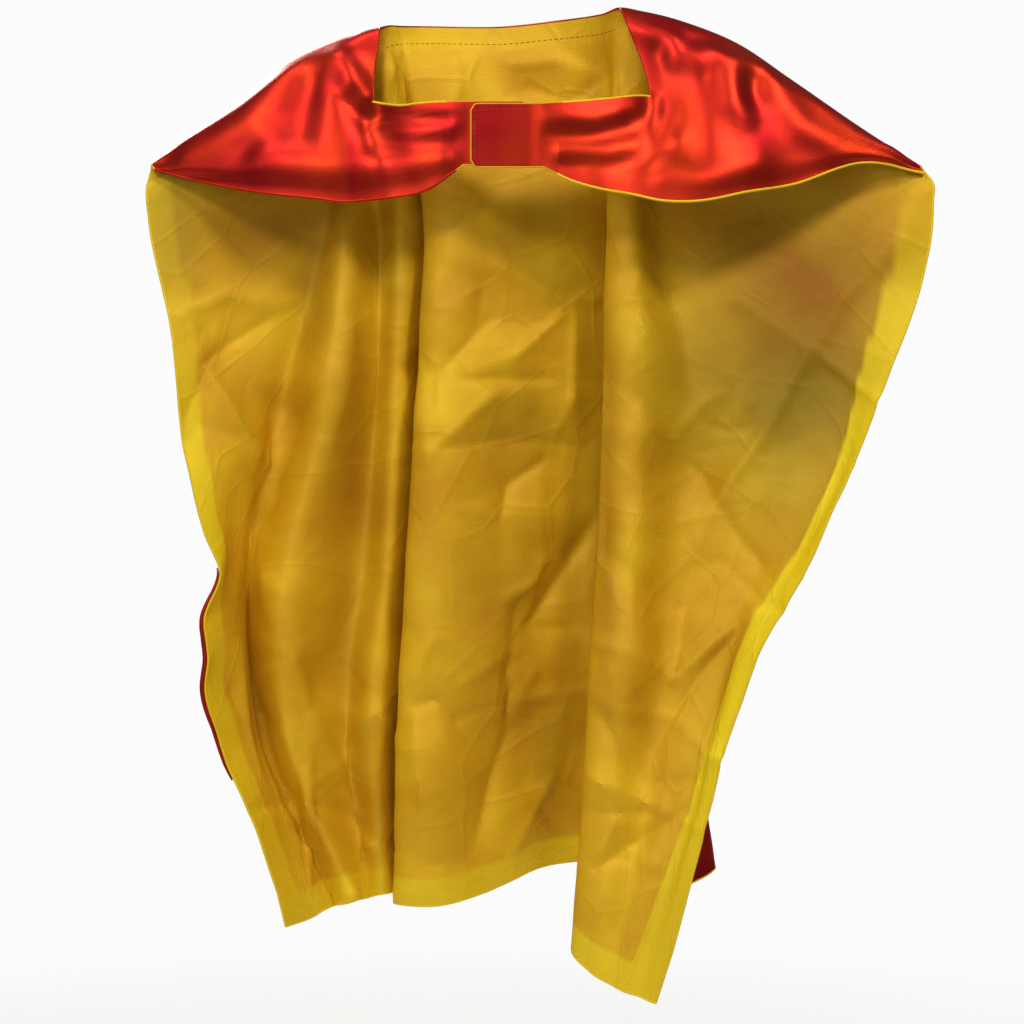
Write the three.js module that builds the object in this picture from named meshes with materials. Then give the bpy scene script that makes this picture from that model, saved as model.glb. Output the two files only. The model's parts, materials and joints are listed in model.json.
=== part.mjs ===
// A child's two-layer cape hung by its neck and shoulders, drawn in millimetres.
// +Z is up, -Y is the front. The origin is the middle of the back neckline, where the cape is held.
import * as THREE from "three";

// Driving sizes.
const SPAN = 471; // shoulder tip to shoulder tip
const DROP = 571; // neckline to the lowest hem corner
const FOLD_DEPTH = 110; // frontmost to rearmost cloth
const SATIN = 0.8; // outer cloth
const LINING = 0.8; // inner cloth
const LAYER_GAP = 1.0; // between the two cloths
const SEAM_CLOTH = 0.5; // turned seam allowance lying between them
const HEM = 12; // width of the turned seam allowance
const RIDGE_ROUND = 5; // how far the cloth bulges each way as it turns over the shoulder
const RIDGE_FALL = 9; // height over which it turns
const TAB_HEIGHT = 37; // neck tab, bottom edge to top edge
const TAB_LAP = 34; // how far the two neck tabs lap over each other
const TAB_CORNER = 4; // corner radius of a tab's free end
const PATCH = 26; // side of the square hook and loop patches
const PATCH_THICK = 1.2;
const HINGE_GAP = 0.5; // slit between a tab and its strap
const CLEAR = 0.05; // between parts sewn face to face

// The sizes at which the fold lines below were drawn.
const DRAWN = { span: 471, drop: 571, depth: 110 };
const WIDE = SPAN / DRAWN.span;
const TALL = DROP / DRAWN.drop;
const DEEP = FOLD_DEPTH / DRAWN.depth;
const CLOTH = SATIN + LAYER_GAP + LINING;

// Fold lines of the hanging back panel, from its left side to its right side.
// top and hem are heights; x and y are places at each fall, from 0 at the top to 1 at the hem.
const FALLS = [0, 0.2, 0.4, 0.6, 0.8, 1];
const FOLD_LINES = [
  {
    name: "left_edge", top: -84, hem: -535,
    falls: [0, 0.03, 0.07, 0.2, 0.4, 0.49, 0.54, 0.6, 0.65, 0.7, 0.75, 0.85, 1],
    x: [-216, -219, -218, -206, -191, -180, -171, -180, -177, -179, -171, -154, -132],
    y: [0, 1, 1, -4, -18, -24, -25, -29, -30, -30, -30, -30, -30],
  },
  {
    name: "left_crest", top: -46, hem: -533,
    x: [-163, -168, -169, -167, -152, -119],
    y: [0, 16, 2, -4, -10, -12],
  },
  {
    name: "left_slope", top: -22, hem: -530,
    x: [-133, -139, -152, -163, -153, -113],
    y: [0, 20, 16, 10, 2, -6],
  },
  {
    name: "left_valley", top: -10, hem: -528,
    x: [-106, -112, -138, -160, -151, -106],
    y: [0, 24, 26, 24, 12, 2],
  },
  {
    name: "left_ridge", top: -7, hem: -524,
    x: [-96, -99, -109, -132, -135, -95],
    y: [0, 14, 2, 0, -6, -8],
  },
  {
    name: "inner_valley", top: -4, hem: -525,
    x: [-88, -82, -83, -91, -101, -87],
    y: [0, 30, 30, 30, 22, 10],
  },
  {
    name: "inner_ridge", top: -2, hem: -521,
    x: [-79, -68, -69, -74, -82, -76],
    y: [0, 18, 18, 14, 8, 2],
  },
  {
    name: "centre_behind", top: 1, hem: -524,
    x: [-74, -49, -49, -53, -58, -59],
    y: [8, 34, 38, 40, 40, 36],
  },
  {
    name: "centre_fold", top: 2, hem: -524,
    x: [-67, -53, -56, -62, -67, -69],
    y: [14, 16, 6, 0, -8, -14],
  },
  {
    name: "centre_crest", top: 4, hem: -524,
    x: [-51, -37, -39, -44, -47, -45],
    y: [24, 10, -4, -10, -18, -24],
  },
  {
    name: "centre_middle", top: 6, hem: -518,
    x: [-7, 2, 2, -4, -10, -12],
    y: [34, 26, 14, 6, 0, -6],
  },
  {
    name: "centre_right", top: 9, hem: -507,
    x: [29, 41, 39, 36, 29, 24],
    y: [30, 34, 32, 30, 26, 22],
  },
  {
    name: "right_behind", top: 9, hem: -508,
    x: [53, 68, 72, 84, 108, 124],
    y: [14, 40, 40, 38, 30, 20],
  },
  {
    name: "right_fold", top: 10, hem: -544,
    x: [65, 59, 55, 50, 43, 35],
    y: [0, 12, 0, -12, -28, -42],
  },
  {
    name: "right_crest", top: 8, hem: -557,
    x: [77, 73, 76, 71, 58, 46],
    y: [0, 4, -12, -26, -42, -54],
  },
  {
    name: "right_valley", top: 3, hem: -563,
    x: [98, 90, 107, 95, 78, 58],
    y: [0, 22, 12, -8, -36, -60],
  },
  {
    name: "right_slope", top: -11, hem: -566,
    x: [134, 132, 139, 121, 91, 65],
    y: [0, 20, 6, -16, -42, -64],
  },
  {
    name: "right_panel", top: -33, hem: -568,
    x: [167, 172, 168, 134, 104, 73],
    y: [0, 18, 0, -22, -46, -66],
  },
  {
    name: "right_outer", top: -62, hem: -570,
    x: [209, 210, 194, 138, 108, 78],
    y: [0, 8, -14, -36, -56, -68],
  },
  {
    name: "right_edge", top: -85, hem: -571,
    falls: [0, 0.02, 0.045, 0.08, 0.14, 0.25, 0.36, 0.5, 0.58, 0.66, 0.76, 0.86, 0.93, 1],
    x: [245, 252, 252, 251, 245, 227, 204, 168, 146, 132, 117, 103, 93, 82],
    y: [0, -1, -2, -4, -6, -14, -24, -38, -44, -50, -58, -64, -68, -70],
  },
];
const LAST = FOLD_LINES.length - 1;
const NECK_LEFT = 6; // the fold lines where the neckline meets the shoulder ridge
const NECK_RIGHT = 13;

// Points [x, y, z] halfway down each shoulder flap and on its front edge, from the tip to the neck.
const LEFT_FLAP = [
  { mid: [-215, -2, -86], edge: [-214, -4, -87] },
  { mid: [-167, -14, -73], edge: [-169, -16, -99] },
  { mid: [-138, -18, -64], edge: [-140, -24, -104] },
  { mid: [-115, -20, -56], edge: [-115, -28, -107] },
  { mid: [-103, -19, -53], edge: [-100, -29, -109] },
  { mid: [-92, -16, -51], edge: [-86, -28, -108] },
  { mid: [-83, -12, -49], edge: [-72, -26, -106] },
];
const RIGHT_FLAP = [
  { mid: [246, -2, -87], edge: [247, -4, -88] },
  { mid: [208, -8, -73], edge: [208, -11, -84] },
  { mid: [168, -14, -66], edge: [167, -20, -98] },
  { mid: [139, -20, -62], edge: [138, -30, -104] },
  { mid: [111, -22, -53], edge: [111, -36, -110] },
  { mid: [92, -18, -47], edge: [89, -36, -110] },
  { mid: [82, -14, -45], edge: [70, -35, -106] },
];
const UNDER = { hinge: -29, depth: -26, top: -51 }; // the tab that lies behind, from the left strap
const OVER = { hinge: 19, top: -53, end: -24 }; // the tab that lies in front, from the right strap
const OVER_DEPTH = UNDER.depth * DEEP - CLOTH - 2 * PATCH_THICK - 4 * CLEAR;
const LEFT_STRAP = [
  { top: [-66, -20, -52], bottom: [-49, -28, -102] },
  { top: [-48, -24, -51], bottom: [-38, -27, -95] },
];
const RIGHT_STRAP = [
  { top: [61, -22, -48], bottom: [51, -36, -103] },
  { top: [40, -28, -51], bottom: [34, -34, -98] },
];

const place = ([x, y, z]) => [x * WIDE, y * DEEP, z * TALL];
const mix = (a, b, f) => a + (b - a) * f;
const mixPoint = (p, q, f) => p.map((v, i) => mix(v, q[i], f));
const apart = (p, q) => Math.hypot(p[0] - q[0], p[1] - q[1], p[2] - q[2]);

// A smooth curve through points at increasing knots.
function curveAt(knots, points, at) {
  let i = 0;
  while (i < knots.length - 2 && at > knots[i + 1]) i += 1;
  const step = knots[i + 1] - knots[i];
  const f = (at - knots[i]) / step;
  const weights = [
    2 * f ** 3 - 3 * f ** 2 + 1,
    f ** 3 - 2 * f ** 2 + f,
    3 * f ** 2 - 2 * f ** 3,
    f ** 3 - f ** 2,
  ];
  const slope = (k, a) => {
    const before = k > 0 ? (points[k][a] - points[k - 1][a]) / (knots[k] - knots[k - 1]) : null;
    const last = k === knots.length - 1;
    const after = last ? null : (points[k + 1][a] - points[k][a]) / (knots[k + 1] - knots[k]);
    if (before === null || after === null) return before ?? after;
    const left = knots[k] - knots[k - 1];
    const right = knots[k + 1] - knots[k];
    return (before * right + after * left) / (left + right);
  };
  return points[i].map(
    (v, a) =>
      weights[0] * v + weights[1] * step * slope(i, a) +
      weights[2] * points[i + 1][a] + weights[3] * step * slope(i + 1, a),
  );
}

// How far out of full bulge the cloth still is at a distance from the ridge.
function ridgeLag(distance) {
  const q = Math.min(1, distance / RIDGE_FALL);
  return RIDGE_ROUND * (1 - Math.sqrt(1 - (1 - q) ** 2));
}

const onRidge = (k) => k <= NECK_LEFT || k >= NECK_RIGHT;

// The point of back fold line k at a fall between 0 and 1.
function backLinePoint(k, fall) {
  const line = FOLD_LINES[k];
  const height = mix(line.top, line.hem, fall) * TALL;
  const bulge = onRidge(k) ? RIDGE_ROUND : 0;
  const controls = line.x.map((x, i) => [x * WIDE, line.y[i] * DEEP + (i === 0 ? bulge : 0)]);
  const [x, y] = curveAt(line.falls ?? FALLS, controls, fall);
  const lag = bulge ? ridgeLag((line.top - line.hem) * TALL * fall) : 0;
  return [x, y - lag, height];
}

// The point of a flap's line at r, 0 on the ridge, 1 on the front edge.
function flapLinePoint(line, k, r) {
  const ridge = backLinePoint(k, 0);
  const start = [ridge[0], ridge[1] - RIDGE_ROUND, ridge[2]];
  const [mid, edge] = [place(line.mid), place(line.edge)];
  const point = curveAt([0, 0.5, 1], [start, mid, edge], r);
  point[1] += ridgeLag(r * (apart(ridge, mid) + apart(mid, edge)));
  return point;
}

// The point at a fractional station on a smooth row through points.
function stationPoint(points, station) {
  const knots = [0];
  for (let i = 1; i < points.length; i += 1) {
    knots.push(knots[i - 1] + Math.sqrt(apart(points[i - 1], points[i])));
  }
  const i = Math.min(points.length - 2, Math.floor(station));
  return curveAt(knots, points, mix(knots[i], knots[i + 1], station - i));
}

// The station a hem's width in from the start of a row.
function hemStation(points) {
  let station = 0;
  let length = 0;
  let last = points[0];
  while (length < HEM && station < 0.8) {
    station += 0.01;
    const next = stationPoint(points, station);
    length += apart(last, next);
    last = next;
  }
  return station;
}

// Stations across one side, from its free edge in to the given number of fold lines.
function sideStations(points, lines) {
  const hem = hemStation(points);
  const stations = [0, hem, mix(hem, 1, 0.5)];
  for (let station = 1; station <= lines; station += 0.5) stations.push(station);
  return stations;
}

const LEFT_LINES = NECK_LEFT;
const RIGHT_LINES = LAST - NECK_RIGHT;
const NECK_STEPS = [2, 2, 2, 3, 3, 3, 4]; // spaces between the fold lines under the neckline
const BACK_FALLS = [
  0, 0.003, 0.009, 0.02, 0.05, 0.09, 0.14, 0.2, 0.26, 0.33, 0.4,
  0.47, 0.54, 0.6, 0.66, 0.72, 0.78, 0.84, 0.9, 0.94, 0.975, 1,
];
const NECK_HEM_ROWS = 3;
const FLAP_ROWS = [0, 0.017, 0.05, 0.1, 0.3, 0.5, 0.69, 0.87, 1];
const STRAP_ROW = 5; // from this row down, a flap runs on into its neck strap
const STRAP_STEPS = 2;

function backRow(fall) {
  const points = FOLD_LINES.map((_, k) => backLinePoint(k, fall));
  const left = sideStations(points, LEFT_LINES);
  const right = sideStations([...points].reverse(), RIGHT_LINES).map((station) => LAST - station);
  const neck = NECK_STEPS.flatMap((count, k) =>
    Array.from({ length: count }, (_, i) => NECK_LEFT + k + (i + 1) / count),
  );
  neck.pop();
  return [...left, ...neck, ...right.reverse()].map((station) => stationPoint(points, station));
}

// The strap's stations as [top, bottom] pairs, ending at the tab's hinge.
function strapLines(strap, tab, depth) {
  const lines = strap.map(({ top, bottom }) => [place(top), place(bottom)]);
  const top = [tab.hinge * WIDE, depth, tab.top * TALL];
  lines.push([top, [top[0], depth, top[2] - TAB_HEIGHT]]);
  return lines;
}

// Rows of one flap, each from its tip to the neck or, lower down, to the tab's hinge.
function flapGrid(ridge, lines, lineIndex, strap) {
  const lower = FLAP_ROWS.slice(1).map((r, i) => {
    const flap = lines.map((line, k) => flapLinePoint(line, lineIndex(k), r));
    const onStrap = i + 1 >= STRAP_ROW;
    const tail = onStrap ? strap.map(([top, bottom]) => mixPoint(top, bottom, 2 * r - 1)) : [];
    const stations = sideStations(flap, flap.length - 1);
    for (let step = 1; step <= tail.length * STRAP_STEPS; step += 1) {
      stations.push(flap.length - 1 + step / STRAP_STEPS);
    }
    return stations.map((station) => stationPoint([...flap, ...tail], station));
  });
  return [ridge, ...lower];
}

// A mid-surface of quads with shared corners. Its outer side is the satin side.
class Surface {
  constructor() {
    this.points = [];
    this.index = new Map();
    this.quads = [];
  }

  corner(point) {
    const key = point.map((v) => Math.round(v * 1000)).join(",");
    if (!this.index.has(key)) {
      this.index.set(key, this.points.length);
      this.points.push(new THREE.Vector3(...point));
    }
    return this.index.get(key);
  }

  // Adds rows of points. Satin faces along (column step) x (row step), or the other way if flipped.
  add(rows, flipped, partOf) {
    for (let r = 0; r + 1 < rows.length; r += 1) {
      const width = Math.min(rows[r].length, rows[r + 1].length);
      for (let c = 0; c + 1 < width; c += 1) {
        const points = [rows[r][c], rows[r][c + 1], rows[r + 1][c + 1], rows[r + 1][c]];
        const corners = points.map((p) => this.corner(p));
        this.quads.push({ corners: flipped ? corners.reverse() : corners, part: partOf(r, c) });
      }
    }
  }

  normals() {
    const sums = this.points.map(() => new THREE.Vector3());
    for (const { corners } of this.quads) {
      const [a, b, c, d] = corners.map((i) => this.points[i]);
      const normal = c.clone().sub(a).cross(d.clone().sub(b));
      corners.forEach((i) => sums[i].add(normal));
    }
    return sums.map((v) => v.normalize());
  }

  // A closed solid between two offsets from the surface, over the quads of one part or of all.
  slab(low, high, part) {
    const normals = this.normals();
    const quads = this.quads.filter((q) => !part || q.part === part).map((q) => q.corners);
    const edges = new Set(quads.flatMap((q) => q.map((a, i) => `${a}>${q[(i + 1) % 4]}`)));
    const positions = [];
    const at = (i, offset) => this.points[i].clone().addScaledVector(normals[i], offset).toArray();
    const face = (a, b, c, d) => positions.push(...[a, b, c, a, c, d].flat());
    for (const q of quads) {
      face(...q.map((i) => at(i, high)));
      const [a, b, c, d] = q.map((i) => at(i, low));
      positions.push(...[c, b, a, d, c, a].flat());
      q.forEach((from, i) => {
        const to = q[(i + 1) % 4];
        if (!edges.has(`${to}>${from}`)) face(at(to, high), at(from, high), at(from, low), at(to, low));
      });
    }
    return new THREE.BufferGeometry().setAttribute(
      "position",
      new THREE.Float32BufferAttribute(positions, 3),
    );
  }
}

// The turned seam allowance that covers a quad of the back, or "panel".
function backPart(row, column, columns) {
  if (column === 0) return "side_hem_left";
  if (column === columns - 2) return "side_hem_right";
  if (row === BACK_FALLS.length - 2) return "bottom_hem";
  const firstNeck = 2 + 2 * LEFT_LINES;
  const lastNeck = columns - 1 - firstNeck + 2 * (LEFT_LINES - RIGHT_LINES);
  if (row < NECK_HEM_ROWS && column >= firstNeck && column < lastNeck) return "neck_hem";
  return "panel";
}

function flapPart(side) {
  return (row, column) => (column === 0 || row === FLAP_ROWS.length - 2 ? side : "panel");
}

function capeSurface() {
  const surface = new Surface();
  const back = BACK_FALLS.map(backRow);
  const ridge = back[0];
  surface.add(back, false, (row, column) => backPart(row, column, ridge.length));
  const leftRidge = ridge.slice(0, 2 + 2 * LEFT_LINES);
  const rightRidge = [...ridge].reverse().slice(0, 2 + 2 * RIGHT_LINES);
  const leftStrap = strapLines(LEFT_STRAP, UNDER, UNDER.depth * DEEP);
  const rightStrap = strapLines(RIGHT_STRAP, OVER, OVER_DEPTH);
  surface.add(flapGrid(leftRidge, LEFT_FLAP, (k) => k, leftStrap), true, flapPart("side_hem_left"));
  surface.add(
    flapGrid(rightRidge, RIGHT_FLAP, (k) => LAST - k, rightStrap),
    false,
    flapPart("side_hem_right"),
  );
  return surface;
}

const MATERIALS = {
  satin: new THREE.MeshStandardMaterial({ color: 0xd8331a, roughness: 0.32, metalness: 0.1 }),
  lining: new THREE.MeshStandardMaterial({ color: 0xc8961f, roughness: 0.6, metalness: 0 }),
  seam: new THREE.MeshStandardMaterial({ color: 0xc9a426, roughness: 0.7, metalness: 0 }),
  tape: new THREE.MeshStandardMaterial({ color: 0xb02418, roughness: 0.9, metalness: 0 }),
};
for (const material of Object.values(MATERIALS)) material.side = THREE.DoubleSide;

function mesh(name, geometry, material) {
  const made = new THREE.Mesh(geometry, material);
  made.name = name;
  return made;
}

// A flat cloth plate standing in the X-Z plane, from x = 0 at its root to x = end, hanging down from z = 0.
function tabPlate(root, end, thick) {
  const out = Math.sign(end);
  const shape = new THREE.Shape();
  shape.moveTo(root, 0);
  shape.lineTo(end - out * TAB_CORNER, 0);
  shape.quadraticCurveTo(end, 0, end, -TAB_CORNER);
  shape.lineTo(end, TAB_CORNER - TAB_HEIGHT);
  shape.quadraticCurveTo(end, -TAB_HEIGHT, end - out * TAB_CORNER, -TAB_HEIGHT);
  shape.lineTo(root, -TAB_HEIGHT);
  const plate = new THREE.ExtrudeGeometry(shape, { depth: thick, bevelEnabled: false, curveSegments: 5 });
  return plate.rotateX(Math.PI / 2).translate(0, thick, 0);
}

// A neck tab on its hinge: the group stands on the hinge line, on the outer face of the satin.
// reach is how far the tab's free end lies from the hinge, with its sign.
function neckTab(name, tab, depth, reach) {
  const group = new THREE.Group();
  const out = Math.sign(reach);
  group.position.set(tab.hinge * WIDE + (out * HINGE_GAP) / 2, depth - CLOTH / 2, tab.top * TALL);
  const root = (out * HINGE_GAP) / 2;
  const satin = mesh(`${name}_satin`, tabPlate(root, reach, SATIN), MATERIALS.satin);
  const lining = mesh(`${name}_lining`, tabPlate(root, reach, LINING), MATERIALS.lining);
  lining.position.y = CLOTH - LINING;
  group.add(satin, lining);
  return group;
}

// A square of hook or loop tape. front is its face's place, in the frame of the whole cape.
function tapePatch(name, group, x, front, z) {
  const patch = mesh(name, new THREE.BoxGeometry(PATCH, PATCH_THICK, PATCH), MATERIALS.tape);
  patch.position.set(x, front + PATCH_THICK / 2, z).sub(group.position);
  group.add(patch);
}

function neckClosure() {
  const underDepth = UNDER.depth * DEEP;
  const overEnd = OVER.end * WIDE;
  const underEnd = overEnd + TAB_LAP;
  const under = neckTab("under_tab", UNDER, underDepth, underEnd - UNDER.hinge * WIDE - HINGE_GAP / 2);
  const over = neckTab("over_tab", OVER, OVER_DEPTH, overEnd - OVER.hinge * WIDE + HINGE_GAP / 2);
  const middle = overEnd + TAB_LAP / 2;
  const height = ((UNDER.top + OVER.top) / 2) * TALL - TAB_HEIGHT / 2;
  tapePatch("loop_patch", under, middle, underDepth - CLOTH / 2 - CLEAR - PATCH_THICK, height);
  tapePatch("hook_patch", over, middle, OVER_DEPTH + CLOTH / 2 + CLEAR, height);
  return [under, over];
}

function hangingCloth() {
  const surface = capeSurface();
  const inner = LAYER_GAP / 2;
  const half = SEAM_CLOTH / 2;
  const cloth = new THREE.Group();
  cloth.add(mesh("satin_shell", surface.slab(inner, inner + SATIN), MATERIALS.satin));
  cloth.add(mesh("lining_panel", surface.slab(-inner - LINING, -inner), MATERIALS.lining));
  for (const name of ["side_hem_left", "side_hem_right", "bottom_hem", "neck_hem"]) {
    cloth.add(mesh(name, surface.slab(-half, half, name), MATERIALS.seam));
  }
  return cloth;
}

const cape = new THREE.Group();
cape.add(hangingCloth(), ...neckClosure());

export default cape;
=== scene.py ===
import json
import math

import bpy
import numpy as np
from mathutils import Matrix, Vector
from mathutils.bvhtree import BVHTree
from mathutils.geometry import delaunay_2d_cdt


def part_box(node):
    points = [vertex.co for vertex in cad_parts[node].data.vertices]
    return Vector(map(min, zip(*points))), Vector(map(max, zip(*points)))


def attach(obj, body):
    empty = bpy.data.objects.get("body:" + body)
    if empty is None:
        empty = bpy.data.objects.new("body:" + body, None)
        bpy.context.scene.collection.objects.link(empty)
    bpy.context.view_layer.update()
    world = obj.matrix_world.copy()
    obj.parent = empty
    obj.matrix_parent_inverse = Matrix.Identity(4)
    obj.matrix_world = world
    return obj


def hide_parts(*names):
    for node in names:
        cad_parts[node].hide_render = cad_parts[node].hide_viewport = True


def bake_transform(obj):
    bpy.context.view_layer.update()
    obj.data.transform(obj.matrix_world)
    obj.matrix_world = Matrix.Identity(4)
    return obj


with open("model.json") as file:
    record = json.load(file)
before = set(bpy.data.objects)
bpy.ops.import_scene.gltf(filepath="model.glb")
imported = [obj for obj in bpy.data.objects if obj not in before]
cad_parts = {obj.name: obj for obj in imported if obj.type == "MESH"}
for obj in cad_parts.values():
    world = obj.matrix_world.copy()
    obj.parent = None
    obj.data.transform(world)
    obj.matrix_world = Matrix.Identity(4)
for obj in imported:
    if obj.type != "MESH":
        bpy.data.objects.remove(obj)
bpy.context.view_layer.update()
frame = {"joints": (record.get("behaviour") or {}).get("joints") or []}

# ---------------------------------------------------------------- driving sizes, millimetres
MM = 0.001
shell_low, shell_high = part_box("satin_shell")
# The frame's size over the satin shell's size when the fold lines below were drawn.
WIDE = (shell_high[0] - shell_low[0]) / 0.471286
DEEP = (shell_high[1] - shell_low[1]) / 0.112798
TALL = (shell_high[2] - shell_low[2]) / 0.582539
GRAIN = 2.8  # spacing of the cloth mesh
TAB_GRAIN = 2  # the same on the tabs
BACK_LENGTH = 530  # the back's mesh rows are spaced as on a cloth this long, from the ridge to the hem
FLAP_LENGTH = 86  # the same for the flaps, from the ridge to the front edge
STRAP_STEPS = [10, 6, 8]  # mesh columns between one line of a neck strap and the next
RIDGE_ROUND = 5  # the cloth bulges this far each way as it turns over the shoulder
RIDGE_FALL = 9  # height over which it turns
INNER = 0.18  # each cloth lies between these distances from the middle of the pair
OUTER = 0.55
SEAM_HALF = 0.12  # half the thickness of a turned seam allowance
PATCH_GAP = 0.03  # from a tab's cloth to its own fastener patch
TAB_CORNER = 4  # radius of a tab's free corners
HEM = 16  # width of the turned seam allowance
RIGHT_HEM = 20  # the same on the right side edge
NECK_HEM = 13
VIEW_DISTANCE = 1300  # from the camera to the plane y = 0
EYE = (0, -292.2)  # where the camera looks, x and z
SEEN_WIDTH = 614.4  # width that the camera sees across the plane y = 0
PRESSED_GAIN = 1.1  # height of a crease's sharp ridge over its listed height
FACET_GAIN = 3.0  # the same for the flat facets beside it
CORNER_BLEND = 14  # facet corners closer than about this share one height, so that no facet is steep
CLEAR = 1.2  # folds whose middles come closer than this would touch
FOLD_GAIN = 0.85  # height of a flap's fold over its listed height
FOLD_SPREAD = 1.25  # the same for its reach
PIPING_TOP = 325  # the outer satin rolls into view on the left side between these distances below z = 0
PIPING_LOW = 450
SHARP_ANGLE = 50  # degrees between faces, over which their edge is drawn sharp
# Sizes in metres.
FLOOR = -0.86
FLOOR_REACH = 1.6
FLOOR_SIDES = 64
# Lights and camera.
AMBIENT = 0.2
WARM = (1.0, 0.96, 0.87)
COOL = (0.97, 0.98, 1.0)
SENSOR = 36  # width of the camera's sensor

# Fold lines of the hanging back panel, left to right, in millimetres: the same lines as in the CAD source.
FALLS = [0, 0.2, 0.4, 0.6, 0.8, 1]
LEFT_FALLS = [0, 0.03, 0.07, 0.2, 0.4, 0.49, 0.54, 0.6, 0.65, 0.7, 0.75, 0.85, 1]
RIGHT_FALLS = [0, 0.02, 0.045, 0.08, 0.14, 0.25, 0.36, 0.5, 0.58, 0.66, 0.76, 0.86, 0.93, 1]
FOLD_LINES = [
    (-84, -535, [-216, -219, -218, -206, -191, -180, -171, -180, -177, -179, -171, -154, -132],
     [0, 1, 1, -4, -18, -24, -25, -29, -30, -30, -30, -30, -30]),
    (-46, -533, [-163, -168, -169, -167, -152, -119], [0, 16, 2, -4, -10, -12]),
    (-22, -530, [-133, -139, -152, -163, -153, -113], [0, 20, 16, 10, 2, -6]),
    (-10, -528, [-106, -112, -138, -160, -151, -106], [0, 24, 26, 24, 12, 2]),
    (-7, -524, [-96, -99, -109, -132, -135, -95], [0, 14, 2, 0, -6, -8]),
    (-4, -525, [-88, -82, -83, -91, -101, -87], [0, 30, 30, 30, 22, 10]),
    (-2, -521, [-79, -68, -69, -74, -82, -76], [0, 18, 18, 14, 8, 2]),
    (1, -524, [-74, -49, -49, -53, -58, -59], [8, 34, 38, 40, 40, 36]),
    (2, -524, [-67, -53, -56, -62, -67, -69], [14, 16, 6, 0, -8, -14]),
    (4, -524, [-51, -37, -39, -44, -47, -45], [24, 10, -4, -10, -18, -24]),
    (6, -518, [-7, 2, 2, -4, -10, -12], [34, 26, 14, 6, 0, -6]),
    (9, -507, [29, 41, 39, 36, 29, 24], [30, 34, 32, 30, 26, 22]),
    (9, -508, [53, 68, 72, 84, 108, 124], [14, 40, 40, 38, 30, 20]),
    (10, -544, [65, 59, 55, 50, 43, 35], [0, 12, 0, -12, -28, -42]),
    (8, -557, [77, 73, 76, 71, 58, 46], [0, 4, -12, -26, -42, -54]),
    (3, -563, [98, 90, 107, 95, 78, 58], [0, 22, 12, -8, -36, -60]),
    (-11, -566, [134, 132, 139, 121, 91, 65], [0, 20, 6, -16, -42, -64]),
    (-33, -568, [167, 172, 168, 134, 104, 73], [0, 18, 0, -22, -46, -66]),
    (-62, -570, [209, 210, 194, 138, 108, 78], [0, 8, -14, -36, -56, -68]),
    (-85, -571, [245, 252, 252, 251, 245, 227, 204, 168, 146, 132, 117, 103, 93, 82],
     [0, -1, -2, -4, -6, -14, -24, -38, -44, -50, -58, -64, -68, -70]),
]
LAST = len(FOLD_LINES) - 1
NECK_LEFT = 6
NECK_RIGHT = 13
# Each flap line: a point halfway down the flap, and one on its front edge. Tip first.
LEFT_FLAP = [
    ((-215, -2, -86), (-214, -4, -87)),
    ((-167, -14, -73), (-169, -16, -99)),
    ((-138, -18, -64), (-140, -24, -104)),
    ((-115, -20, -56), (-115, -28, -107)),
    ((-103, -19, -53), (-100, -29, -109)),
    ((-92, -16, -51), (-86, -28, -108)),
    ((-83, -12, -49), (-72, -26, -106)),
]
RIGHT_FLAP = [
    ((246, -2, -87), (247, -4, -88)),
    ((208, -8, -73), (208, -11, -84)),
    ((168, -14, -66), (167, -20, -98)),
    ((139, -20, -62), (138, -30, -104)),
    ((111, -22, -53), (111, -36, -110)),
    ((92, -18, -47), (89, -36, -110)),
    ((82, -14, -45), (70, -35, -106)),
]
LEFT_STRAP = [((-66, -20, -52), (-49, -28, -102)), ((-48, -24, -51), (-38, -27, -95))]
RIGHT_STRAP = [((61, -22, -48), (51, -36, -103)), ((40, -28, -51), (34, -34, -98))]


def frame_joint(name):
    return next(j for j in frame["joints"] if j["name"] == name)


# ---------------------------------------------------------------- curves
def curve_at(knots, values, at):
    """A smooth curve through values at increasing knots, as in the CAD source."""
    knots = np.asarray(knots, float)
    values = np.asarray(values, float)
    at = np.atleast_1d(np.asarray(at, float))
    steps = np.diff(knots)
    secants = np.diff(values, axis=0) / steps[:, None]
    left, right = steps[:-1, None], steps[1:, None]
    inner = (secants[:-1] * right + secants[1:] * left) / (left + right)
    slopes = np.vstack([secants[:1], inner, secants[-1:]])
    i = np.clip(np.searchsorted(knots, at, side="right") - 1, 0, len(knots) - 2)
    step = steps[i][:, None]
    f = ((at - knots[i]) / steps[i])[:, None]
    return (
        (2 * f**3 - 3 * f**2 + 1) * values[i]
        + (f**3 - 2 * f**2 + f) * step * slopes[i]
        + (3 * f**2 - 2 * f**3) * values[i + 1]
        + (f**3 - f**2) * step * slopes[i + 1]
    )


def along_row(points, stations):
    """Points at fractional stations of a smooth row through the given points."""
    gaps = np.sqrt(np.linalg.norm(np.diff(points, axis=0), axis=1))
    knots = np.concatenate([[0], np.cumsum(gaps)])
    whole = np.clip(np.floor(stations).astype(int), 0, len(points) - 2)
    at = knots[whole] + (knots[whole + 1] - knots[whole]) * (stations - whole)
    return curve_at(knots, points, at)


def smooth(low, high, value):
    """0 at low and 1 at high, with a soft step between."""
    t = np.clip((value - low) / (high - low), 0, 1)
    return t * t * (3 - 2 * t)


def ridge_lag(distance):
    """How far the cloth still lies from its full bulge, at a distance below the ridge."""
    q = np.clip(distance / RIDGE_FALL, 0, 1)
    return RIDGE_ROUND * (1 - np.sqrt(1 - (1 - q) ** 2))


def place(point):
    return np.array(point, float) * [WIDE, DEEP, TALL]


def on_ridge(k):
    return k <= NECK_LEFT or k >= NECK_RIGHT


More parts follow.
